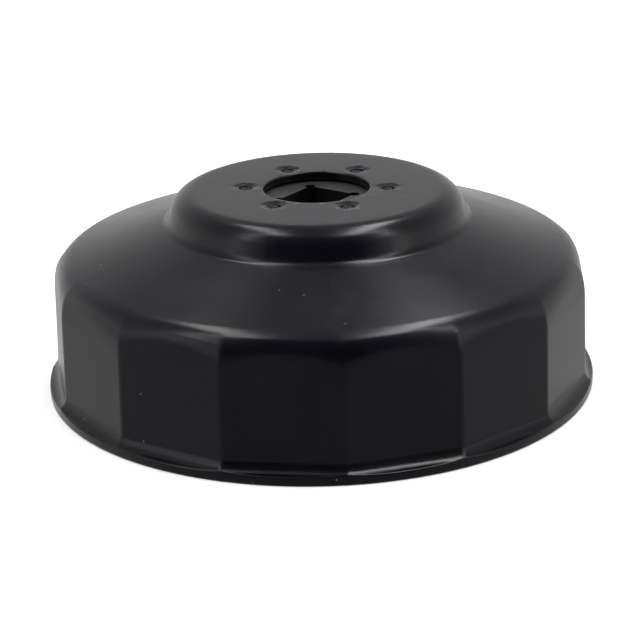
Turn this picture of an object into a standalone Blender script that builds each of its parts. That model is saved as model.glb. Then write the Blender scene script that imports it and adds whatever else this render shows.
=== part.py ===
"""Cap oil filter wrench: a pressed steel cup with fifteen flutes, and a square-drive plate welded in its hub.

The cup stands on its rim at z = 0, with its hub up. The sides of the square drive hole lie along X and Y.
Lengths are in metres.
"""

import math

import bmesh
import bpy
from mathutils import Matrix

OBJECT_NAME = "oil_filter_wrench"

# Cup: pressed from one round sheet.
SHEET = 0.0016
HEIGHT = 0.0361
RIM_R = 0.0503
FLUTES = 15
ACROSS_FLATS = 0.093
WALL_DRAFT = math.radians(1.3)
FLUTE_PHASE = math.radians(-2.4)
FLUTE_CORNER_R = 0.0025
LIP_R = 0.0022
RIM_FACING = 0.0002

# Shoulder: round where it leaves the dome, fluted like the wall where it has turned down, by its tilt.
SHOULDER_R = 0.0075
SHOULDER_MAX_R = 0.0498
FLATS_START = math.radians(25)
FLATS_END = math.radians(85)

# Straight steps along each round stretch of the sheet's section.
ARC_STEPS = 4
FOOT_STEPS = 2
SHOULDER_STEPS = 8

# Hub: the raised middle of the cup.
HUB_FLAT_R = 0.0223
HUB_EDGE_R = 0.0045
HUB_DRAFT = math.radians(20)
HUB_FOOT_R = 0.0020
HUB_HOLE_R = 0.0096
DOME_SLOPE = math.radians(17.5)
DOME_RADIUS_AT_FOOT = 0.0277
DOME_HEIGHT_AT_FOOT = 0.0306

# Drive plate: a thick disc under the hub, with a 3/8 inch square hole.
CLEARANCE = 0.0003
PLATE_R = 0.0160
PLATE_THICKNESS = 0.0050
PLATE_EDGE_R = 0.0006
DRIVE_SQUARE = 0.0098
DRIVE_RELIEF_R = 0.0010

# Weld nuggets: they hold the plate to the hub.
WELDS = 6
WELD_CIRCLE_R = 0.0129
WELD_PHASE = math.radians(29.8)
NUGGET_NECK_R = 0.0012
NUGGET_CROWN_R = 0.0007
NUGGET_CROWN_RISE = 0.0003
NUGGET_FOOT_R = 0.0020
NUGGET_FOOT_CHAMFER = 0.0003
NUGGET_DEPTH = 0.0009
DIMPLE_R = 0.0023
DIMPLE_DEPTH = 0.00045

# Facets round the turned pieces.
PLATE_FACETS = 64
RELIEF_FACETS = 16
WELD_FACETS = 20
PLATE_EDGE_STEPS = 3

INNER_FLAT_R = ACROSS_FLATS / 2
OUTER_FLAT_R = INNER_FLAT_R + SHEET
HALF_FLUTE = math.pi / FLUTES
MOUTH_HEIGHT = SHEET + LIP_R
TAPER = math.tan(WALL_DRAFT) / OUTER_FLAT_R
HUB_UNDERSIDE = HEIGHT - SHEET
PLATE_TOP = HUB_UNDERSIDE - CLEARANCE
PLATE_BOTTOM = PLATE_TOP - PLATE_THICKNESS
CUT_MARGIN = 0.002

STEEL_BLACK = (0.006, 0.006, 0.0065, 1.0)
PLATE_BLACK = (0.009, 0.009, 0.0095, 1.0)
WELD_BLACK = (0.005, 0.005, 0.0055, 1.0)
CUP_ROUGHNESS = 0.34
PLATE_ROUGHNESS = 0.45
WELD_ROUGHNESS = 0.5


def arc(centre, radius, start, end, steps):
    """Points on an arc in the (radius, height) plane, both ends included; the angles are in radians."""
    points = []
    for i in range(steps + 1):
        angle = start + (end - start) * i / steps
        points.append((centre[0] + radius * math.cos(angle), centre[1] + radius * math.sin(angle)))
    return points


def flute_radius(angle, flat_r, corner_r):
    """Distance from the axis to a fifteen-sided wall with rounded corners."""
    from_corner = (angle - FLUTE_PHASE + HALF_FLUTE) % (2 * HALF_FLUTE) - HALF_FLUTE
    centre = (flat_r - corner_r) / math.cos(HALF_FLUTE)
    rounded = math.atan2(corner_r * math.sin(HALF_FLUTE), centre + corner_r * math.cos(HALF_FLUTE))
    if abs(from_corner) >= rounded:
        return flat_r / math.cos(HALF_FLUTE - abs(from_corner))
    sideways = centre * math.sin(from_corner)
    return centre * math.cos(from_corner) + math.sqrt(corner_r**2 - sideways**2)


def dome_height(radius, depth):
    """Height of the sloping dome at a radius, at a depth below its outer face."""
    drop = math.tan(DOME_SLOPE) * (radius - DOME_RADIUS_AT_FOOT)
    return DOME_HEIGHT_AT_FOOT - drop - depth / math.cos(DOME_SLOPE)


def hub_profile(depth):
    """Hub from its hole out to the dome, at a depth below the outer face of the sheet."""
    edge_r = HUB_EDGE_R - depth
    edge_centre = (HUB_FLAT_R, HEIGHT - HUB_EDGE_R)
    points = [(HUB_HOLE_R, HEIGHT - depth)]
    points += arc(edge_centre, edge_r, math.pi / 2, HUB_DRAFT, ARC_STEPS)

    # The foot's centre lies at one foot radius from both the hub's side and the dome.
    foot_r = HUB_FOOT_R + depth
    reach = HUB_EDGE_R + HUB_FOOT_R
    lift = HUB_FOOT_R / math.cos(DOME_SLOPE)
    start_r = edge_centre[0] + reach * math.cos(HUB_DRAFT)
    start_z = edge_centre[1] + reach * math.sin(HUB_DRAFT)
    above_dome = start_z - dome_height(start_r, 0) - lift
    run = above_dome / (1 - math.tan(DOME_SLOPE) * math.tan(HUB_DRAFT))
    foot_centre = (start_r + run * math.tan(HUB_DRAFT), start_z - run)
    points += arc(foot_centre, foot_r, math.pi + HUB_DRAFT, 1.5 * math.pi - DOME_SLOPE, FOOT_STEPS)
    return points


def wall_radius(mouth_r, height):
    """Radius of the tapered wall at a height, from its radius at the top of the lip. The flats stay flat."""
    return mouth_r * (1 - TAPER * (height - MOUTH_HEIGHT))


def shoulder_profile(mouth_r, depth):
    """Shoulder at a depth below the outer face: round at the dome, taking on the wall's flats as it turns down."""
    radius = SHOULDER_R - depth
    centre_r = SHOULDER_MAX_R - SHOULDER_R
    centre_z = dome_height(centre_r, 0) - SHOULDER_R / math.cos(DOME_SLOPE)
    end = math.pi / 2 - WALL_DRAFT
    inset = centre_r + radius * math.sin(end) - wall_radius(mouth_r, centre_z + radius * math.cos(end))
    points = []
    for i in range(SHOULDER_STEPS + 1):
        tilt = DOME_SLOPE + (end - DOME_SLOPE) * i / SHOULDER_STEPS
        share = min(1.0, max(0.0, (tilt - FLATS_START) / (FLATS_END - FLATS_START)))
        share = share**2 * (3 - 2 * share)
        points.append((centre_r + radius * math.sin(tilt) - inset * share, centre_z + radius * math.cos(tilt)))
    return points


def outer_lip(mouth_r):
    """Outer face of the lip: a hollow curve from the wall out to the rim's upper edge."""
    centre_r = mouth_r + LIP_R / math.cos(WALL_DRAFT)
    end = 2 * math.pi - math.acos(max(-1.0, (RIM_R - centre_r) / LIP_R))
    return arc((centre_r, MOUTH_HEIGHT), LIP_R, math.pi + WALL_DRAFT, end, ARC_STEPS)


def inner_lip(mouth_r):
    """Inner face of the lip: a round mouth from the wall down to the faced ring that the rim stands on."""
    radius = LIP_R + SHEET
    centre_z = radius - RIM_FACING
    centre_r = wall_radius(mouth_r, centre_z) + radius / math.cos(WALL_DRAFT)
    end = math.pi + math.asin(centre_z / radius)
    curve = arc((centre_r, centre_z), radius, math.pi + WALL_DRAFT, end, ARC_STEPS)
    return curve[:-1] + [(curve[-1][0], 0.0), (RIM_R, 0.0)]


def cup_section(angle):
    """Closed outline of the sheet at one angle round the cup: along its outer face, then back inside."""
    outer_mouth = flute_radius(angle, OUTER_FLAT_R, FLUTE_CORNER_R)
    inner_mouth = flute_radius(angle, INNER_FLAT_R, FLUTE_CORNER_R - SHEET)
    outer = hub_profile(0) + shoulder_profile(outer_mouth, 0) + outer_lip(outer_mouth)
    inner = hub_profile(SHEET) + shoulder_profile(inner_mouth, SHEET) + inner_lip(inner_mouth)
    return outer + inner[::-1]


def section_angles():
    """Angles round the cup: at each flute's corner, at the ends of its rounding, and along its flat."""
    centre = (OUTER_FLAT_R - FLUTE_CORNER_R) / math.cos(HALF_FLUTE)
    across = FLUTE_CORNER_R * math.sin(HALF_FLUTE)
    rounded = math.atan2(across, centre + FLUTE_CORNER_R * math.cos(HALF_FLUTE))
    steps = [-HALF_FLUTE, -HALF_FLUTE / 2, -rounded, 0, rounded, HALF_FLUTE / 2]
    return [FLUTE_PHASE + 2 * HALF_FLUTE * i + step for i in range(FLUTES) for step in steps]


def new_object(name, mesh, collection):
    obj = bpy.data.objects.new(name, mesh)
    collection.objects.link(obj)
    return obj


def make_material(name, color, roughness, metallic=0.0):
    material = bpy.data.materials.new(name)
    material.use_nodes = True
    shader = material.node_tree.nodes["Principled BSDF"]
    shader.inputs["Base Color"].default_value = color
    shader.inputs["Roughness"].default_value = roughness
    shader.inputs["Metallic"].default_value = metallic
    return material


def shade(mesh):
    mesh.shade_smooth()
    mesh.set_sharp_from_angle(angle=math.radians(30))


def turned(name, profile, steps, collection):
    """A solid turned round Z. Its (radius, height) profile runs from the top of the axis to the bottom."""
    mesh = bpy.data.meshes.new(name)
    edges = [(i, i + 1) for i in range(len(profile) - 1)]
    mesh.from_pydata([(r, 0, z) for r, z in profile], edges, [])
    obj = new_object(name, mesh, collection)
    screw = obj.modifiers.new("turn", "SCREW")
    screw.steps = steps
    screw.render_steps = steps
    screw.use_merge_vertices = True
    screw.merge_threshold = 0.00001
    screw.use_smooth_shade = True
    return obj


def cut(obj, cutter):
    boolean = obj.modifiers.new(f"cut_{cutter.name}", "BOOLEAN")
    boolean.operation = "DIFFERENCE"
    boolean.solver = "EXACT"
    boolean.object = cutter


def as_cutter(obj):
    obj.hide_render = True
    obj.display_type = "WIRE"
    return obj


def weld_places():
    """Centres of the welds, evenly spaced on their circle."""
    places = []
    for i in range(WELDS):
        angle = WELD_PHASE + 2 * math.pi * i / WELDS
        places.append((WELD_CIRCLE_R * math.cos(angle), WELD_CIRCLE_R * math.sin(angle)))
    return places


def make_cup(collection, material):
    """Loft of the closed sheet sections: a round rim, fifteen flats, a round dome and a round hub."""
    bm = bmesh.new()
    rings = []
    for angle in section_angles():
        ring = []
        for r, z in cup_section(angle):
            ring.append(bm.verts.new((r * math.cos(angle), r * math.sin(angle), z)))
        rings.append(ring)
    for here, ahead in zip(rings, rings[1:] + rings[:1]):
        for i in range(len(here)):
            j = (i + 1) % len(here)
            bm.faces.new((here[i], here[j], ahead[j], ahead[i]))
    bmesh.ops.recalc_face_normals(bm, faces=bm.faces)
    mesh = bpy.data.meshes.new("cup_shell")
    bm.to_mesh(mesh)
    bm.free()
    shade(mesh)
    cup = new_object("cup_shell", mesh, collection)
    cup.data.materials.append(material)
    return cup


def make_plate(collection, material):
    """Round disc with rounded edges, turned about the axis."""
    side = PLATE_R - PLATE_EDGE_R
    profile = [(0, PLATE_TOP)]
    profile += arc((side, PLATE_TOP - PLATE_EDGE_R), PLATE_EDGE_R, math.pi / 2, 0, PLATE_EDGE_STEPS)
    profile += arc((side, PLATE_BOTTOM + PLATE_EDGE_R), PLATE_EDGE_R, 0, -math.pi / 2, PLATE_EDGE_STEPS)
    profile += [(0, PLATE_BOTTOM)]
    plate = turned("drive_plate", profile, PLATE_FACETS, collection)
    plate.data.materials.append(material)
    return plate


def make_drive_cutters(collection):
    """Square prism, with a round relief at each of its corners."""
    height = PLATE_THICKNESS + 2 * CUT_MARGIN
    middle = (PLATE_TOP + PLATE_BOTTOM) / 2
    bpy.ops.mesh.primitive_cube_add(size=1, location=(0, 0, middle))
    square = bpy.context.object
    square.name = "drive_square_cutter"
    square.data.transform(Matrix.Diagonal((DRIVE_SQUARE, DRIVE_SQUARE, height, 1)))
    cutters = [square]
    half = DRIVE_SQUARE / 2
    for i, (x, y) in enumerate(((half, half), (-half, half), (-half, -half), (half, -half))):
        bpy.ops.mesh.primitive_cylinder_add(
            vertices=RELIEF_FACETS, radius=DRIVE_RELIEF_R, depth=height, location=(x, y, middle)
        )
        relief = bpy.context.object
        relief.name = f"drive_relief_cutter_{i + 1}"
        cutters.append(relief)
    for cutter in cutters:
        for owner in cutter.users_collection:
            owner.objects.unlink(cutter)
        collection.objects.link(cutter)
    return [as_cutter(cutter) for cutter in cutters]


def make_weld(number, place, parts, cutters, material, cup, plate):
    """One nugget: a neck through the sheet and a foot sunk in the plate, in holes cut clear of both."""
    x, y = place
    hole_r = NUGGET_NECK_R + CLEARANCE
    dimple = [
        (0, HEIGHT + CUT_MARGIN),
        (DIMPLE_R, HEIGHT + CUT_MARGIN),
        (DIMPLE_R, HEIGHT),
        (hole_r, HEIGHT - DIMPLE_DEPTH),
        (hole_r, HUB_UNDERSIDE - CLEARANCE),
        (0, HUB_UNDERSIDE - CLEARANCE),
    ]
    hole = as_cutter(turned(f"weld_hole_cutter_{number}", dimple, WELD_FACETS, cutters))
    hole.location = (x, y, 0)
    cut(cup, hole)

    pocket_r = NUGGET_FOOT_R + CLEARANCE
    pocket_floor = PLATE_TOP - NUGGET_DEPTH - CLEARANCE
    pocket_profile = [
        (0, PLATE_TOP + CUT_MARGIN),
        (pocket_r, PLATE_TOP + CUT_MARGIN),
        (pocket_r, pocket_floor),
        (0, pocket_floor),
    ]
    pocket = as_cutter(turned(f"weld_pocket_cutter_{number}", pocket_profile, WELD_FACETS, cutters))
    pocket.location = (x, y, 0)
    cut(plate, pocket)

    crown = HEIGHT - DIMPLE_DEPTH
    foot = PLATE_TOP - NUGGET_DEPTH
    profile = [
        (0, crown),
        (NUGGET_CROWN_R, crown),
        (NUGGET_NECK_R, crown - NUGGET_CROWN_RISE),
        (NUGGET_NECK_R, PLATE_TOP),
        (NUGGET_FOOT_R, PLATE_TOP - CLEARANCE),
        (NUGGET_FOOT_R, foot + NUGGET_FOOT_CHAMFER),
        (NUGGET_FOOT_R - NUGGET_FOOT_CHAMFER, foot),
        (0, foot),
    ]
    nugget = turned(f"weld_nugget_{number}", profile, WELD_FACETS, parts)
    nugget.location = (x, y, 0)
    nugget.data.materials.append(material)
    return nugget


def main():
    for obj in list(bpy.data.objects):
        bpy.data.objects.remove(obj, do_unlink=True)
    parts = bpy.data.collections.new(OBJECT_NAME)
    cutters = bpy.data.collections.new("cutters")
    bpy.context.scene.collection.children.link(parts)
    bpy.context.scene.collection.children.link(cutters)

    cup = make_cup(parts, make_material("cup_paint", STEEL_BLACK, CUP_ROUGHNESS))
    plate = make_plate(parts, make_material("plate_paint", PLATE_BLACK, PLATE_ROUGHNESS))
    for cutter in make_drive_cutters(cutters):
        cut(plate, cutter)
    weld_paint = make_material("weld_paint", WELD_BLACK, WELD_ROUGHNESS)
    for number, place in enumerate(weld_places(), start=1):
        make_weld(number, place, parts, cutters, weld_paint, cup, plate)


main()
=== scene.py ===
"""Cap oil filter wrench: a fine pressed cup, a drive plate and six welds, in satin black paint.

Lengths are in metres. The cup stands on its rim at z = 0 with its hub up.
X and Y are square to the drive hole.
"""

import math

import bmesh
import bpy
from mathutils import Matrix, Vector, noise


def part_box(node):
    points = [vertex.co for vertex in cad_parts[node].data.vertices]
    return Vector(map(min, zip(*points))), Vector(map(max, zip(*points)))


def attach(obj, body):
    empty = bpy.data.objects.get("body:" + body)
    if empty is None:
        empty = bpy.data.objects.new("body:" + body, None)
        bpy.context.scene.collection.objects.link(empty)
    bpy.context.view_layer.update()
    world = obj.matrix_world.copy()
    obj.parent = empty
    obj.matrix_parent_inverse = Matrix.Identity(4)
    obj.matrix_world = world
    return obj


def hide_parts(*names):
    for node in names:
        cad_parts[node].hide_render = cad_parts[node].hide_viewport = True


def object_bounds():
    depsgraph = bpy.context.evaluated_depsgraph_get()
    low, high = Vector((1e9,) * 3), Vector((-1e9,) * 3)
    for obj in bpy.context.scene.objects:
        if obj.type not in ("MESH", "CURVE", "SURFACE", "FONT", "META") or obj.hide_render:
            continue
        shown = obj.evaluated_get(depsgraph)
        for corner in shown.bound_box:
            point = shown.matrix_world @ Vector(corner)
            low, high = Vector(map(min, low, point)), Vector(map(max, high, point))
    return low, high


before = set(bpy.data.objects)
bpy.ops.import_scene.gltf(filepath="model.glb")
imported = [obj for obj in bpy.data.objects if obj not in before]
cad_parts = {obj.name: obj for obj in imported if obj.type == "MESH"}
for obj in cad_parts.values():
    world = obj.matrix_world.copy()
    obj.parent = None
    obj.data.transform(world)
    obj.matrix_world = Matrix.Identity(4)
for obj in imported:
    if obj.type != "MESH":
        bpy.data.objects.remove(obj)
cad_low, cad_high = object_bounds()

# Cup: the sheet's section, as in the CAD model.
SHEET = 0.0016
HEIGHT = cad_high.z
RIM_R = min(-cad_low.x, cad_high.x, -cad_low.y, cad_high.y)
FLUTES = 15
ACROSS_FLATS = 0.093
WALL_DRAFT = math.radians(1.3)
FLUTE_PHASE = math.radians(-2.4)
FLUTE_CORNER_R = 0.0025
LIP_R = 0.0022
RIM_FACING = 0.0002
CUT_EDGE_R = 0.0003

# Shoulder: round where it leaves the dome, fluted like the wall where it has turned down, by its tilt.
SHOULDER_R = 0.0075
SHOULDER_MAX_R = 0.0498
FLATS_START = math.radians(25)
FLATS_END = math.radians(85)

# Hub: the raised middle of the cup.
HUB_FLAT_R = 0.0223
HUB_EDGE_R = 0.0045
HUB_DRAFT = math.radians(20)
HUB_FOOT_R = 0.0020
HUB_HOLE_R = 0.0096
DOME_SLOPE = math.radians(17.5)
DOME_RADIUS_AT_FOOT = 0.0277
DOME_HEIGHT_AT_FOOT = 0.0306

# Straight steps along the round and straight stretches of the sheet's section.
HOLE_EDGE_STEPS = 3
HUB_EDGE_STEPS = 12
HUB_FOOT_STEPS = 8
SHOULDER_STEPS = 24
OUTER_LIP_STEPS = 10
INNER_LIP_STEPS = 12
CUT_EDGE_STEPS = 4
CUT_FACE_STEPS = 3
STRAIGHT_STEPS = 8

# Steps round half a flute's corner, and along its flat.
CORNER_STEPS = 3
FLAT_STEPS = 10

# Pressed sheet is never quite true: its faces sink by up to this much, in waves of this length.
WAVE_DEPTH = 0.00003
WAVE_LENGTH = 0.014

# Drive plate and its hole.
plate_low, plate_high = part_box("drive_plate")
PLATE_R = plate_high.x
PLATE_EDGE_R = 0.0007
DRIVE_SQUARE = 0.0098
DRIVE_RELIEF_R = 0.0010
PLATE_ARRIS_R = 0.0002
PLATE_EDGE_STEPS = 6
PLATE_FACETS = 180
RELIEF_STEPS = 14
ARRIS_STEPS = 3

# Size mark on the underside of the plate: a bar with pips over and under it.
MARK_RADIUS = 0.0105
MARK_DEPTH = 0.00015
MARK_BAR = (0.0070, 0.0006)
MARK_PIP_R = 0.00045
MARK_PIP_GAP = 0.0019
MARK_ROW_GAP = 0.0016
MARK_PIPS_OVER = 3
MARK_PIPS_UNDER = 2
MARK_END_STEPS = 8
PIP_FACETS = 24

# Welds.
WELDS = 6
DIMPLE_R = 0.0024
DIMPLE_DEPTH = 0.00038
DIMPLE_LUMPS = 0.00010
DIMPLE_LUMP_SIZE = 0.0009
DIMPLE_SPREAD = 1.08
CUTTER_SPREAD = 1.3
DIMPLE_STEPS = 12
DIMPLE_FACETS = 48
NUGGET_R = 0.0012
NUGGET_GAP = 0.00003
NUGGET_CROWN = 0.00012
NUGGET_LUMPS = 0.00022
NUGGET_LUMP_SIZE = 0.0007
CROWN_STEPS = 12
NUGGET_FACETS = 36
POCKET_FACETS = 32
NUGGET_FOOT_R = 0.0020
NUGGET_DEPTH = 0.0009

# Edges sharper than these angles, in degrees, stay sharp.
CUP_SHARP = 32
PLATE_SHARP = 40
BEVEL_FROM = 50

# Tints of the cup's black, which has a trace of violet, and of the plate's, and pale dust on both.
VIOLET_BLACK = (1.1, 0.95, 2.2)
GREY_BLACK = (1.0, 0.99, 1.03)
DUST = (0.15, 0.15, 0.155, 1.0)

# Paints: levels of the sound and the rubbed paint, the depth of the peel, and the share of its level that
# vertical faces keep; below one, that share is painted shade on the walls.
CUP_PAINT = {
    "tint": VIOLET_BLACK,
    "base": 0.0018,
    "worn": 0.006,
    "roughness": 0.22,
    "peel_depth": 0.000008,
    "ior": 1.45,
    "upright_shade_share": 1.0,
}
PLATE_PAINT = {
    "tint": GREY_BLACK,
    "base": 0.0200,
    "worn": 0.034,
    "roughness": 0.42,
    "peel_depth": 0.000014,
    "ior": 1.45,
    # The plate's vertical faces are darkened to this share: painted shade on the drive hole's walls and the
    # rim.
    "upright_shade_share": 0.08,
}
WELD_PAINT = {
    "tint": VIOLET_BLACK,
    "base": 0.0016,
    "worn": 0.012,
    "roughness": 0.42,
    "peel_depth": 0.000030,
    "ior": 1.40,
    "upright_shade_share": 1.0,
}

# Paint texture: features to the millimetre, then their levels.
PEEL_SCALE = 1.6
PATCH_SCALE = 0.09
GRAIN_SCALE = 5.0
RUB_SCALE = 0.45
SPECK_SCALE = 0.42
SPECK_EDGE = (0.025, 0.065)
SPECK_CHOICE = (0.75, 0.79)
PATCH_SPAN = (0.3, 0.7)
RUB_SPAN = (0.62, 0.78)
RUB_SHARE = 0.6
PATCH_SHADES = (0.8, 1.25)
PATCH_ROUGHNESS = (-0.03, 0.04)
GRAIN_ROUGHNESS = 0.02
DUST_ROUGHNESS = 0.4
GRAIN_HEIGHT = 0.25
DUST_HEIGHT = 1.5
LEVEL_SPAN = (0.80, 0.98)

# Camera: where it stands from the middle of the tool, and its frame.
VIEW_AZIMUTH = math.radians(35.5)
VIEW_ELEVATION = math.radians(20.4)
VIEW_ROLL = math.radians(-1.52)
VIEW_DISTANCE = 0.3685
VIEW_HEIGHT = 0.0104
LENS = 112

# Studio: radiance of the paper round the tool, in units of white. The first pair runs from the horizon
# up to PAPER_TOP, and the second, below the horizon, from behind the tool to the camera's side.
PAPER_BEHIND = (0.72, 0.18)
PAPER_BELOW = (0.75, 0.18)
PAPER_TOP = 0.9
HORIZON_BLEND = 0.04

# Dark gap on the camera's side: the cosine from the camera's side where it starts and is full, the height
# where it ends, and the radiance left in it.
GAP_SIDES = (0.55, 0.85)
GAP_TOP = (0.88, 0.98)
GAP_RADIANCE = 0.02

# Soft boxes: place and direction of the second side, to the camera's right, ahead and up, then size and
# radiance in units of white.
SOFT_BOXES = {
    "strip_right": ((0.31, 0.17, 1.0), (0, 1, 0), (0.15, 0.87), 9.0),
    "strip_left": ((-0.32, 0.205, 1.0), (0, 1, 0), (0.14, 0.77), 5.4),
    "beam_right": ((0.72, -0.24, 1.0), (0.79, -0.61, 0), (0.14, 0.66), 4.0),
    "beam_left": ((-0.78, -0.26, 1.0), (-0.79, -0.61, 0), (0.14, 0.74), 3.0),
    "flank_right": ((1.09, -0.50, 0.59), (0, 0, 1), (0.35, 0.75), 0.7),
    "flank_left": ((-1.09, -0.50, 0.59), (0, 0, 1), (0.35, 0.75), 0.5),
}
FLOOR_FILL = ((0.0, 0.0, 1.4), (0, 1, 0), (2.6, 2.6), 2.3)

# Floor: its radius, and where its glow starts and is full.
FLOOR_R = 6.0
FLOOR_GLOW = (0.15, 1.2)

INNER_FLAT_R = ACROSS_FLATS / 2
OUTER_FLAT_R = INNER_FLAT_R + SHEET
HALF_FLUTE = math.pi / FLUTES
MOUTH_HEIGHT = SHEET + LIP_R
TAPER = math.tan(WALL_DRAFT) / OUTER_FLAT_R
HUB_UNDERSIDE = HEIGHT - SHEET
CUT_MARGIN = 0.002


# ---- The sheet's section -----------------------------------------------------------------------


def arc(centre, radius, start, end, steps):
    """Points on an arc in the (radius, height) plane, both ends included; the angles are in radians."""
    points = []
    for i in range(steps + 1):
        angle = start + (end - start) * i / steps
        points.append((centre[0] + radius * math.cos(angle), centre[1] + radius * math.sin(angle)))
    return points


def between(first, last, steps):
    """Points that divide a straight run into equal steps, without its two ends."""
    points = []
    for i in range(1, steps):
        share = i / steps
        points.append((first[0] + (last[0] - first[0]) * share, first[1] + (last[1] - first[1]) * share))
    return points


def flute_radius(angle, flat_r, corner_r):
    """Distance from the axis to a fifteen-sided wall with rounded corners."""
    from_corner = (angle - FLUTE_PHASE + HALF_FLUTE) % (2 * HALF_FLUTE) - HALF_FLUTE
    centre = (flat_r - corner_r) / math.cos(HALF_FLUTE)
    rounded = math.atan2(corner_r * math.sin(HALF_FLUTE), centre + corner_r * math.cos(HALF_FLUTE))
    if abs(from_corner) >= rounded:
        return flat_r / math.cos(HALF_FLUTE - abs(from_corner))
    sideways = centre * math.sin(from_corner)
    return centre * math.cos(from_corner) + math.sqrt(corner_r**2 - sideways**2)


def dome_height(radius, depth):
    """Height of the sloping dome at a radius, at a depth below its outer face."""
    drop = math.tan(DOME_SLOPE) * (radius - DOME_RADIUS_AT_FOOT)
    return DOME_HEIGHT_AT_FOOT - drop - depth / math.cos(DOME_SLOPE)


def hub_profile(depth):
    """Hub from its hole out to the dome, at a depth below the outer face of the sheet."""
    edge_r = HUB_EDGE_R - depth
    edge_centre = (HUB_FLAT_R, HEIGHT - HUB_EDGE_R)
    side = 1 if depth == 0 else -1
    hole_centre = (HUB_HOLE_R + CUT_EDGE_R, HEIGHT - depth - side * CUT_EDGE_R)
    hole_end = math.pi * (1 - side / 2)
    hole_edge = arc(hole_centre, CUT_EDGE_R, math.pi, hole_end, HOLE_EDGE_STEPS)
    edge = arc(edge_centre, edge_r, math.pi / 2, HUB_DRAFT, HUB_EDGE_STEPS)

    # The foot's centre lies at one foot radius from both the hub's side and the dome.
    foot_r = HUB_FOOT_R + depth
    reach = HUB_EDGE_R + HUB_FOOT_R
    lift = HUB_FOOT_R / math.cos(DOME_SLOPE)
    start_r = edge_centre[0] + reach * math.cos(HUB_DRAFT)
    start_z = edge_centre[1] + reach * math.sin(HUB_DRAFT)
    above_dome = start_z - dome_height(start_r, 0) - lift
    run = above_dome / (1 - math.tan(DOME_SLOPE) * math.tan(HUB_DRAFT))
    foot_centre = (start_r + run * math.tan(HUB_DRAFT), start_z - run)
    foot = arc(foot_centre, foot_r, math.pi + HUB_DRAFT, 1.5 * math.pi - DOME_SLOPE, HUB_FOOT_STEPS)
    return hole_edge + between(hole_edge[-1], edge[0], STRAIGHT_STEPS) + edge + foot


def wall_radius(mouth_r, height):
    """Radius of the tapered wall at a height, from its radius at the top of the lip. The flats stay flat."""
    return mouth_r * (1 - TAPER * (height - MOUTH_HEIGHT))


def shoulder_profile(mouth_r, depth):
    """Shoulder at a depth below the outer face.

    It is round at the dome and takes on the wall's flats as it turns down.
    """
    radius = SHOULDER_R - depth
    centre_r = SHOULDER_MAX_R - SHOULDER_R
    centre_z = dome_height(centre_r, 0) - SHOULDER_R / math.cos(DOME_SLOPE)
    end = math.pi / 2 - WALL_DRAFT
    wall_r = wall_radius(mouth_r, centre_z + radius * math.cos(end))
    inset = centre_r + radius * math.sin(end) - wall_r
    points = []
    for i in range(SHOULDER_STEPS + 1):
        tilt = DOME_SLOPE + (end - DOME_SLOPE) * i / SHOULDER_STEPS
        share = min(1.0, max(0.0, (tilt - FLATS_START) / (FLATS_END - FLATS_START)))
        share = share**2 * (3 - 2 * share)
        r = centre_r + radius * math.sin(tilt) - inset * share
        points.append((r, centre_z + radius * math.cos(tilt)))
    return points


def outer_lip(mouth_r):
    """Outer face of the lip: a hollow curve from the wall out to the cut edge, which is rounded over."""
    centre_r = mouth_r + LIP_R / math.cos(WALL_DRAFT)
    reach = max(-1.0, (RIM_R - CUT_EDGE_R - centre_r) / (LIP_R + CUT_EDGE_R))
    end = 2 * math.pi - math.acos(reach)
    hollow = arc((centre_r, MOUTH_HEIGHT), LIP_R, math.pi + WALL_DRAFT, end, OUTER_LIP_STEPS)
    top_centre = (RIM_R - CUT_EDGE_R, hollow[-1][1] + CUT_EDGE_R * math.sin(end))
    top = arc(top_centre, CUT_EDGE_R, end - math.pi, 0, CUT_EDGE_STEPS)
    foot = arc((RIM_R - CUT_EDGE_R, CUT_EDGE_R), CUT_EDGE_R, 0, -math.pi / 2, CUT_EDGE_STEPS)
    return hollow + top[1:] + between(top[-1], foot[0], CUT_FACE_STEPS) + foot


def inner_lip(mouth_r):
    """Inner face of the lip: a round mouth from the wall down to the faced ring that the rim stands on."""
    radius = LIP_R + SHEET
    centre_z = radius - RIM_FACING
    centre_r = wall_radius(mouth_r, centre_z) + radius / math.cos(WALL_DRAFT)
    end = math.pi + math.asin(centre_z / radius)
    curve = arc((centre_r, centre_z), radius, math.pi + WALL_DRAFT, end, INNER_LIP_STEPS)
    return curve[:-1] + [(curve[-1][0], 0.0)]


def joined(*stretches):
    """One profile from several, with straight runs between them divided so that no face is long."""
    points = list(stretches[0])
    for stretch in stretches[1:]:
        points += between(points[-1], stretch[0], STRAIGHT_STEPS)
        points += stretch
    return points


def cup_section(angle):
    """Closed outline of the sheet at one angle round the cup: along its outer face, then back inside."""
    outer_mouth = flute_radius(angle, OUTER_FLAT_R, FLUTE_CORNER_R)
    inner_mouth = flute_radius(angle, INNER_FLAT_R, FLUTE_CORNER_R - SHEET)
    outer = joined(hub_profile(0), shoulder_profile(outer_mouth, 0), outer_lip(outer_mouth))
    inner = joined(hub_profile(SHEET), shoulder_profile(inner_mouth, SHEET), inner_lip(inner_mouth))
    return outer + inner[::-1]


def section_angles():
    """Angles round the cup, closer together over each flute's rounded corner than along its flat."""
    centre = (OUTER_FLAT_R - FLUTE_CORNER_R) / math.cos(HALF_FLUTE)
    across = FLUTE_CORNER_R * math.sin(HALF_FLUTE)
    rounded = math.atan2(across, centre + FLUTE_CORNER_R * math.cos(HALF_FLUTE))
    steps = [rounded * i / CORNER_STEPS for i in range(-CORNER_STEPS, CORNER_STEPS + 1)]
    flat = 2 * (HALF_FLUTE - rounded)
    steps += [rounded + flat * i / FLAT_STEPS for i in range(1, FLAT_STEPS)]
    return [FLUTE_PHASE + 2 * HALF_FLUTE * i + step for i in range(FLUTES) for step in steps]


# ---- Mesh helpers ------------------------------------------------------------------------------


def new_object(name, mesh):
    obj = bpy.data.objects.new(name, mesh)
    bpy.context.scene.collection.objects.link(obj)
    return obj


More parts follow.
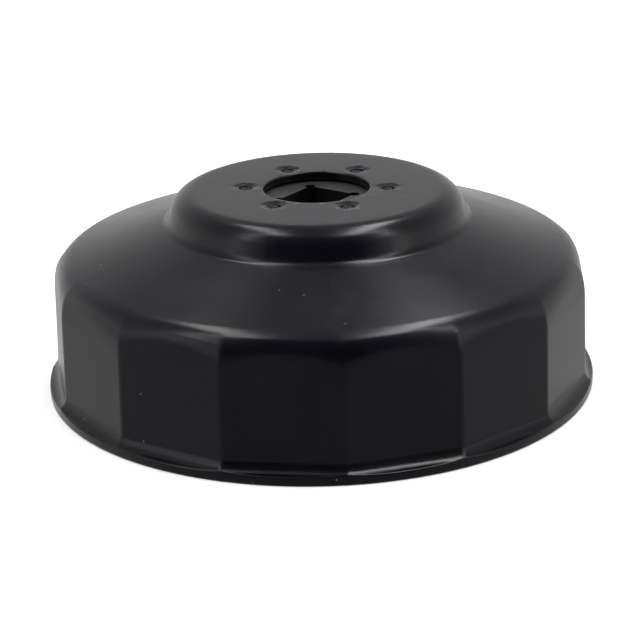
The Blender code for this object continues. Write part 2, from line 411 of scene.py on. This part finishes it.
def mesh_object(name, bm):
    mesh = bpy.data.meshes.new(name)
    bm.to_mesh(mesh)
    bm.free()
    return new_object(name, mesh)


def turned(name, profile, steps, place=(0, 0)):
    """A solid turned round a vertical axis. Its (radius, height) profile runs from the top to the bottom."""
    bm = bmesh.new()
    rings = []
    for r, z in profile:
        if r == 0:
            rings.append([bm.verts.new((place[0], place[1], z))])
            continue
        ring = []
        for i in range(steps):
            angle = 2 * math.pi * i / steps
            spot = (place[0] + r * math.cos(angle), place[1] + r * math.sin(angle), z)
            ring.append(bm.verts.new(spot))
        rings.append(ring)
    for upper, lower in zip(rings, rings[1:]):
        for i in range(steps):
            j = (i + 1) % steps
            above = (upper[i % len(upper)], upper[j % len(upper)])
            below = (lower[i % len(lower)], lower[j % len(lower)])
            corners = (above[0], below[0], below[1], above[1])
            bm.faces.new(list(dict.fromkeys(corners)))
    bmesh.ops.recalc_face_normals(bm, faces=bm.faces)
    return mesh_object(name, bm)


def prism(name, outline, bottom, top):
    """A straight solid with a flat outline, given as (x, y) points in order."""
    bm = bmesh.new()
    lower = [bm.verts.new((x, y, bottom)) for x, y in outline]
    upper = [bm.verts.new((x, y, top)) for x, y in outline]
    bm.faces.new(lower)
    bm.faces.new(upper)
    for i in range(len(outline)):
        j = (i + 1) % len(outline)
        bm.faces.new((lower[i], lower[j], upper[j], upper[i]))
    bmesh.ops.recalc_face_normals(bm, faces=bm.faces)
    return mesh_object(name, bm)


def cut(obj, cutters):
    """Cuts the cutters out of the object, and removes them."""
    for cutter in cutters:
        boolean = obj.modifiers.new("cut", "BOOLEAN")
        boolean.operation = "DIFFERENCE"
        boolean.solver = "EXACT"
        boolean.object = cutter
    apply_modifiers(obj)
    for cutter in cutters:
        bpy.data.objects.remove(cutter, do_unlink=True)


def apply_modifiers(obj):
    """Puts the object's evaluated mesh in place of its own."""
    depsgraph = bpy.context.evaluated_depsgraph_get()
    mesh = bpy.data.meshes.new_from_object(obj.evaluated_get(depsgraph))
    obj.modifiers.clear()
    obj.data = mesh


def smooth(obj, sharp_degrees):
    """Smooth shading that keeps edges past an angle sharp and lets the large faces set the normals."""
    obj.data.shade_smooth()
    obj.data.set_sharp_from_angle(angle=math.radians(sharp_degrees))
    weighted = obj.modifiers.new("weighted_normals", "WEIGHTED_NORMAL")
    weighted.keep_sharp = True
    weighted.weight = 80


# ---- Pieces ------------------------------------------------------------------------------------


def dimple_cutter(number, place):
    """A shallow round dimple with a hole in its middle for the nugget's neck."""
    sphere_r = (DIMPLE_R**2 + DIMPLE_DEPTH**2) / (2 * DIMPLE_DEPTH)
    hole_r = NUGGET_R + NUGGET_GAP
    mouth_r = DIMPLE_R * DIMPLE_SPREAD
    profile = [(0, HEIGHT + CUT_MARGIN), (DIMPLE_R * CUTTER_SPREAD, HEIGHT + CUT_MARGIN)]
    for i in range(DIMPLE_STEPS + 1):
        r = mouth_r + (hole_r - mouth_r) * i / DIMPLE_STEPS
        profile.append((r, HEIGHT + sphere_r - DIMPLE_DEPTH - math.sqrt(sphere_r**2 - r**2)))
    profile += [(hole_r, HUB_UNDERSIDE - CUT_MARGIN), (0, HUB_UNDERSIDE - CUT_MARGIN)]
    cutter = turned(f"dimple_cutter_{number}", profile, DIMPLE_FACETS, place)
    for vert in cutter.data.vertices:
        if HUB_UNDERSIDE < vert.co.z < HEIGHT:
            vert.co.z += DIMPLE_LUMPS * noise.noise(vert.co / DIMPLE_LUMP_SIZE)
    return cutter


def make_cup(places):
    bm = bmesh.new()
    rings = []
    for angle in section_angles():
        across = math.cos(angle)
        along = math.sin(angle)
        rings.append([bm.verts.new((r * across, r * along, z)) for r, z in cup_section(angle)])
    for here, ahead in zip(rings, rings[1:] + rings[:1]):
        for i in range(len(here)):
            j = (i + 1) % len(here)
            bm.faces.new((here[i], here[j], ahead[j], ahead[i]))
    bmesh.ops.recalc_face_normals(bm, faces=bm.faces)
    bm.normal_update()
    for vert in bm.verts:
        if vert.co.z > MOUTH_HEIGHT:
            wave = noise.noise(vert.co / WAVE_LENGTH)
            vert.co -= vert.normal * WAVE_DEPTH * (1 + wave) / 2
    cup = mesh_object("cup_shell_fine", bm)
    cut(cup, [dimple_cutter(number, place) for number, place in places.items()])
    smooth(cup, CUP_SHARP)
    return cup


def drive_outline():
    """Square hole with a round relief at each corner."""
    half = DRIVE_SQUARE / 2
    points = []
    for quarter in range(4):
        turn = Matrix.Rotation(quarter * math.pi / 2, 2)
        for x, y in arc((half, half), DRIVE_RELIEF_R, -math.pi / 2, math.pi, RELIEF_STEPS):
            points.append(tuple(turn @ Vector((x, y))))
    return points


def mark_cutters():
    """Bar and pips that are sunk in the plate's underside, between the drive hole and the edge."""
    top = plate_low.z + MARK_DEPTH
    bottom = plate_low.z - CUT_MARGIN
    half_long = MARK_BAR[0] / 2
    half_wide = MARK_BAR[1] / 2
    bar = []
    for side in (1, -1):
        centre = (side * (half_long - half_wide), MARK_RADIUS)
        start = -side * math.pi / 2
        bar += arc(centre, half_wide, start, start + math.pi, MARK_END_STEPS)
    cutters = [prism("mark_bar_cutter", bar, bottom, top)]
    for count, row in ((MARK_PIPS_OVER, MARK_ROW_GAP), (MARK_PIPS_UNDER, -MARK_ROW_GAP)):
        for i in range(count):
            x = (i - (count - 1) / 2) * MARK_PIP_GAP
            profile = [(0, top), (MARK_PIP_R, top), (MARK_PIP_R, bottom), (0, bottom)]
            cutters.append(turned("mark_pip_cutter", profile, PIP_FACETS, (x, MARK_RADIUS + row)))
    return cutters


def make_plate(places):
    side = PLATE_R - PLATE_EDGE_R
    profile = [(0, plate_high.z)]
    top_centre = (side, plate_high.z - PLATE_EDGE_R)
    foot_centre = (side, plate_low.z + PLATE_EDGE_R)
    profile += arc(top_centre, PLATE_EDGE_R, math.pi / 2, 0, PLATE_EDGE_STEPS)
    profile += arc(foot_centre, PLATE_EDGE_R, 0, -math.pi / 2, PLATE_EDGE_STEPS)
    profile += [(0, plate_low.z)]
    plate = turned("drive_plate_fine", profile, PLATE_FACETS)
    above = plate_high.z + CUT_MARGIN
    cutters = [prism("drive_cutter", drive_outline(), plate_low.z - CUT_MARGIN, above)]
    pocket_r = NUGGET_FOOT_R + NUGGET_GAP
    floor = plate_high.z - NUGGET_DEPTH - NUGGET_GAP
    pocket = [(0, above), (pocket_r, above), (pocket_r, floor), (0, floor)]
    cutters += [turned("pocket_cutter", pocket, POCKET_FACETS, place) for place in places.values()]
    cut(plate, cutters + mark_cutters())
    bevel = plate.modifiers.new("arris", "BEVEL")
    bevel.width = PLATE_ARRIS_R
    bevel.segments = ARRIS_STEPS
    bevel.limit_method = "ANGLE"
    bevel.angle_limit = math.radians(BEVEL_FROM)
    smooth(plate, PLATE_SHARP)
    return plate


def make_nugget(number, place):
    """Weld metal: a lumpy crown in the dimple, a neck through the sheet and a foot in the plate."""
    base = HEIGHT - DIMPLE_DEPTH
    profile = [(0, base + NUGGET_CROWN)]
    for i in range(1, CROWN_STEPS + 1):
        slope = math.pi / 2 * i / CROWN_STEPS
        rise = 2 * NUGGET_CROWN * math.cos(slope) - NUGGET_CROWN
        profile.append((NUGGET_R * math.sin(slope), base + rise))
    profile += [(NUGGET_R, plate_high.z), (NUGGET_FOOT_R, plate_high.z - NUGGET_GAP)]
    profile += [(NUGGET_FOOT_R, plate_high.z - NUGGET_DEPTH), (0, plate_high.z - NUGGET_DEPTH)]
    nugget = turned(f"weld_nugget_fine_{number}", profile, NUGGET_FACETS, place)
    for vert in nugget.data.vertices:
        if vert.co.z > base - NUGGET_CROWN:
            vert.co.z += NUGGET_LUMPS * noise.noise(vert.co / NUGGET_LUMP_SIZE)
    smooth(nugget, PLATE_SHARP)
    return nugget


# ---- Materials ---------------------------------------------------------------------------------


class Nodes:
    """Short calls for building one material's node tree."""

    def __init__(self, tree):
        self.tree = tree

    def add(self, kind, **settings):
        node = self.tree.nodes.new(kind)
        for name, value in settings.items():
            setattr(node, name, value)
        return node

    def link(self, source, target):
        self.tree.links.new(source, target)

    def noise(self, position, scale, detail=2.0, roughness=0.5):
        """Noise with about `scale` features to the unit of position."""
        node = self.add("ShaderNodeTexNoise")
        node.inputs["Scale"].default_value = scale
        node.inputs["Detail"].default_value = detail
        node.inputs["Roughness"].default_value = roughness
        self.link(position, node.inputs["Vector"])
        return node.outputs["Fac"]

    def remap(self, value, low, high, to_low, to_high, smooth_step=True):
        node = self.add("ShaderNodeMapRange")
        node.interpolation_type = "SMOOTHSTEP" if smooth_step else "LINEAR"
        limits = {"From Min": low, "From Max": high, "To Min": to_low, "To Max": to_high}
        for name, number in limits.items():
            node.inputs[name].default_value = number
        self.link(value, node.inputs["Value"])
        return node.outputs["Result"]

    def math(self, operation, first, second):
        node = self.add("ShaderNodeMath", operation=operation)
        for socket, value in zip(node.inputs, (first, second)):
            if isinstance(value, (int, float)):
                socket.default_value = value
            else:
                self.link(value, socket)
        return node.outputs["Value"]

    def mix(self, share, first, second):
        """Colour mix; first and second are colours or sockets."""
        node = self.add("ShaderNodeMix", data_type="RGBA")
        self.link(share, node.inputs["Factor"])
        sockets = [s for s in node.inputs if s.type == "RGBA"]
        for socket, value in zip(sockets, (first, second)):
            if isinstance(value, tuple):
                socket.default_value = value
            else:
                self.link(value, socket)
        return next(s for s in node.outputs if s.type == "RGBA")


def shade(level, tint):
    """Paint colour: a level of grey, tinted."""
    return (level * tint[0], level * tint[1], level * tint[2], 1.0)


def paint(name, finish):
    """Satin black paint: fine peel, patchy sheen, pale dust specks and rubbed places.

    Vertical faces are darkened to the finish's share of the level faces' brightness, which is painted shade.
    """
    tint = finish["tint"]
    roughness = finish["roughness"]
    material = bpy.data.materials.new(name)
    material.use_nodes = True
    nodes = Nodes(material.node_tree)
    shader = material.node_tree.nodes["Principled BSDF"]
    shader.inputs["IOR"].default_value = finish["ior"]

    # Positions in millimetres, so that every scale below is features to the millimetre.
    place = nodes.add("ShaderNodeTexCoord").outputs["Object"]
    scaled = nodes.add("ShaderNodeVectorMath", operation="SCALE")
    scaled.inputs["Scale"].default_value = 1000
    nodes.link(place, scaled.inputs[0])
    position = scaled.outputs["Vector"]

    peel = nodes.noise(position, PEEL_SCALE, 3.0, 0.55)
    patches = nodes.noise(position, PATCH_SCALE, 3.0, 0.6)
    grain = nodes.noise(position, GRAIN_SCALE, 2.0, 0.5)
    rubbed = nodes.noise(position, RUB_SCALE, 4.0, 0.6)

    specks = nodes.add("ShaderNodeTexVoronoi")
    specks.inputs["Scale"].default_value = SPECK_SCALE
    nodes.link(position, specks.inputs["Vector"])
    near = nodes.remap(specks.outputs["Distance"], *SPECK_EDGE, 1.0, 0.0)
    lone = nodes.add("ShaderNodeSeparateColor")
    nodes.link(specks.outputs["Color"], lone.inputs["Color"])
    chosen = nodes.remap(lone.outputs["Red"], *SPECK_CHOICE, 0.0, 1.0)
    dust = nodes.math("MULTIPLY", near, chosen)

    sheen_patch = nodes.remap(patches, *PATCH_SPAN, 0.0, 1.0)
    wear = nodes.remap(rubbed, *RUB_SPAN, 0.0, RUB_SHARE)
    darker, lighter = (shade(finish["base"] * part, tint) for part in PATCH_SHADES)
    body = nodes.mix(sheen_patch, darker, lighter)
    # Painted shade: faces that stand on end get a darker base colour than the level faces.
    if finish["upright_shade_share"] < 1.0:
        normal = nodes.add("ShaderNodeSeparateXYZ")
        nodes.link(nodes.add("ShaderNodeNewGeometry").outputs["True Normal"], normal.inputs[0])
        upward = nodes.math("ABSOLUTE", normal.outputs["Z"], 0.0)
        stands = nodes.remap(upward, *LEVEL_SPAN, 1.0, 0.0)
        body = nodes.mix(stands, body, shade(finish["base"] * finish["upright_shade_share"], tint))
    body = nodes.mix(wear, body, shade(finish["worn"], tint))
    body = nodes.mix(dust, body, DUST)
    nodes.link(body, shader.inputs["Base Color"])

    lowest, highest = (roughness + change for change in PATCH_ROUGHNESS)
    rough = nodes.remap(patches, *PATCH_SPAN, lowest, highest, smooth_step=False)
    fine = nodes.remap(grain, *PATCH_SPAN, -GRAIN_ROUGHNESS, GRAIN_ROUGHNESS, smooth_step=False)
    rough = nodes.math("ADD", rough, fine)
    rough = nodes.math("ADD", rough, nodes.math("MULTIPLY", dust, DUST_ROUGHNESS))
    nodes.link(rough, shader.inputs["Roughness"])

    height = nodes.math("ADD", peel, nodes.math("MULTIPLY", grain, GRAIN_HEIGHT))
    height = nodes.math("ADD", height, nodes.math("MULTIPLY", dust, DUST_HEIGHT))
    bump = nodes.add("ShaderNodeBump")
    bump.inputs["Strength"].default_value = 1.0
    bump.inputs["Distance"].default_value = finish["peel_depth"]
    nodes.link(height, bump.inputs["Height"])
    nodes.link(bump.outputs["Normal"], shader.inputs["Normal"])
    return material


# ---- Studio ------------------------------------------------------------------------------------


def towards_camera():
    """Unit vector from the middle of the tool to the camera."""
    return Vector(
        (
            math.sin(VIEW_AZIMUTH) * math.cos(VIEW_ELEVATION),
            -math.cos(VIEW_AZIMUTH) * math.cos(VIEW_ELEVATION),
            math.sin(VIEW_ELEVATION),
        )
    )


def make_camera():
    back = towards_camera()
    level = Vector((0, 0, 1)).cross(back).normalized()
    right = Matrix.Rotation(VIEW_ROLL, 3, back) @ level
    up = back.cross(right)
    camera = bpy.data.objects.new("camera", bpy.data.cameras.new("camera"))
    bpy.context.scene.collection.objects.link(camera)
    place = Vector((0, 0, VIEW_HEIGHT)) + back * VIEW_DISTANCE
    turn = Matrix((right, up, back)).transposed().to_4x4()
    camera.matrix_world = Matrix.Translation(place) @ turn
    camera.data.lens = LENS
    camera.data.sensor_width = 36
    camera.data.clip_start = 0.01
    camera.data.clip_end = 20
    bpy.context.scene.camera = camera


def make_floor():
    """A round white floor that fills every view. Its far part, which the lights don't reach, glows."""
    bm = bmesh.new()
    bmesh.ops.create_circle(bm, cap_ends=True, segments=96, radius=FLOOR_R)
    floor = mesh_object("floor", bm)
    material = bpy.data.materials.new("floor_paper")
    material.use_nodes = True
    shader = material.node_tree.nodes["Principled BSDF"]
    shader.inputs["Base Color"].default_value = (0.86, 0.86, 0.86, 1)
    shader.inputs["Roughness"].default_value = 0.9
    shader.inputs["Specular IOR Level"].default_value = 0.1
    nodes = Nodes(material.node_tree)
    distance = nodes.add("ShaderNodeVectorMath", operation="LENGTH")
    nodes.link(nodes.add("ShaderNodeTexCoord").outputs["Object"], distance.inputs[0])
    shader.inputs["Emission Color"].default_value = (1.0, 1.0, 1.0, 1.0)
    glow = nodes.remap(distance.outputs["Value"], *FLOOR_GLOW, 0.0, 1.0)
    nodes.link(glow, shader.inputs["Emission Strength"])
    floor.data.materials.append(material)
    floor.visible_glossy = False


def view_axes():
    """The camera's right and the way it looks, both level, and straight up."""
    right = Vector((math.cos(VIEW_AZIMUTH), math.sin(VIEW_AZIMUTH), 0))
    ahead = Vector((-math.sin(VIEW_AZIMUTH), math.cos(VIEW_AZIMUTH), 0))
    return right, ahead, Vector((0, 0, 1))


def in_view(place):
    """A place or direction given to the camera's right, ahead and up."""
    return sum((amount * axis for amount, axis in zip(place, view_axes())), Vector())


def soft_box(name, place, along, size, radiance):
    """Area light that faces the tool, given as in SOFT_BOXES."""
    spot = in_view(place)
    out = spot.normalized()
    side = in_view(along)
    side = (side - out * side.dot(out)).normalized()
    light = bpy.data.lights.new(name, "AREA")
    light.shape = "RECTANGLE"
    light.size = size[0]
    light.size_y = size[1]
    light.energy = radiance * math.pi * size[0] * size[1]
    lamp = bpy.data.objects.new(name, light)
    turn = Matrix((side.cross(out), side, out)).transposed().to_4x4()
    lamp.matrix_world = Matrix.Translation(spot) @ turn
    bpy.context.scene.collection.objects.link(lamp)
    return lamp


def make_surround():
    """Pale paper round the tool, dimmer overhead, with a dark gap on the camera's side."""
    world = bpy.data.worlds.new("studio")
    bpy.context.scene.world = world
    world.use_nodes = True
    nodes = Nodes(world.node_tree)
    background = world.node_tree.nodes["Background"]
    background.inputs["Color"].default_value = (1.0, 1.0, 1.0, 1.0)
    direction = nodes.add("ShaderNodeTexCoord").outputs["Generated"]
    split = nodes.add("ShaderNodeSeparateXYZ")
    nodes.link(direction, split.inputs[0])
    up = split.outputs["Z"]

    # Cosine of the level angle between a direction and the camera's side. 1.0001 keeps the root real.
    facing = nodes.add("ShaderNodeVectorMath", operation="DOT_PRODUCT")
    facing.inputs[1].default_value = -view_axes()[1]
    nodes.link(direction, facing.inputs[0])
    level = nodes.math("SQRT", nodes.math("SUBTRACT", 1.0001, nodes.math("MULTIPLY", up, up)), 0.0)
    turned_to = nodes.math("DIVIDE", facing.outputs["Value"], level)

    sky = nodes.remap(up, 0.0, PAPER_TOP, *PAPER_BEHIND, smooth_step=False)
    across = nodes.remap(turned_to, *GAP_SIDES, 0.0, 1.0)
    gap = nodes.math("MULTIPLY", across, nodes.remap(up, *GAP_TOP, 1.0, 0.0))
    sky = nodes.math("MULTIPLY", sky, nodes.math("SUBTRACT", 1.0, gap))
    sky = nodes.math("ADD", sky, GAP_RADIANCE)
    ground = nodes.remap(turned_to, -1.0, 1.0, *PAPER_BELOW, smooth_step=False)
    below = nodes.remap(up, -HORIZON_BLEND, HORIZON_BLEND, 1.0, 0.0)
    sky = nodes.math("MULTIPLY", sky, nodes.math("SUBTRACT", 1.0, below))
    lit = nodes.math("ADD", sky, nodes.math("MULTIPLY", ground, below))

    # Seen straight from the camera, the paper is white.
    seen = nodes.add("ShaderNodeLightPath").outputs["Is Camera Ray"]
    nodes.link(nodes.math("MAXIMUM", lit, seen), background.inputs["Strength"])


# ---- Scene -------------------------------------------------------------------------------------


def weld_places():
    """Number and centre of each weld, from its CAD node."""
    places = {}
    for number in range(1, WELDS + 1):
        low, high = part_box(f"weld_nugget_{number}")
        places[number] = ((low.x + high.x) / 2, (low.y + high.y) / 2)
    return places


def stand_for(piece, node, material):
    """The piece takes the place of a CAD node."""
    piece.data.materials.clear()
    piece.data.materials.append(material)
    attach(piece, "root")
    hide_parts(node)


def main():
    bpy.context.scene.view_settings.view_transform = "Standard"
    make_camera()
    make_floor()
    make_surround()
    for name, (place, along, size, radiance) in SOFT_BOXES.items():
        soft_box(name, place, along, size, radiance)
    fill = soft_box("floor_fill", *FLOOR_FILL)
    fill.visible_glossy = False

    places = weld_places()
    cup_paint = paint("cup_paint_black", CUP_PAINT)
    plate_paint = paint("plate_paint_black", PLATE_PAINT)
    weld_paint = paint("weld_paint_black", WELD_PAINT)
    stand_for(make_cup(places), "cup_shell", cup_paint)
    stand_for(make_plate(places), "drive_plate", plate_paint)
    for number, place in places.items():
        stand_for(make_nugget(number, place), f"weld_nugget_{number}", weld_paint)


main()
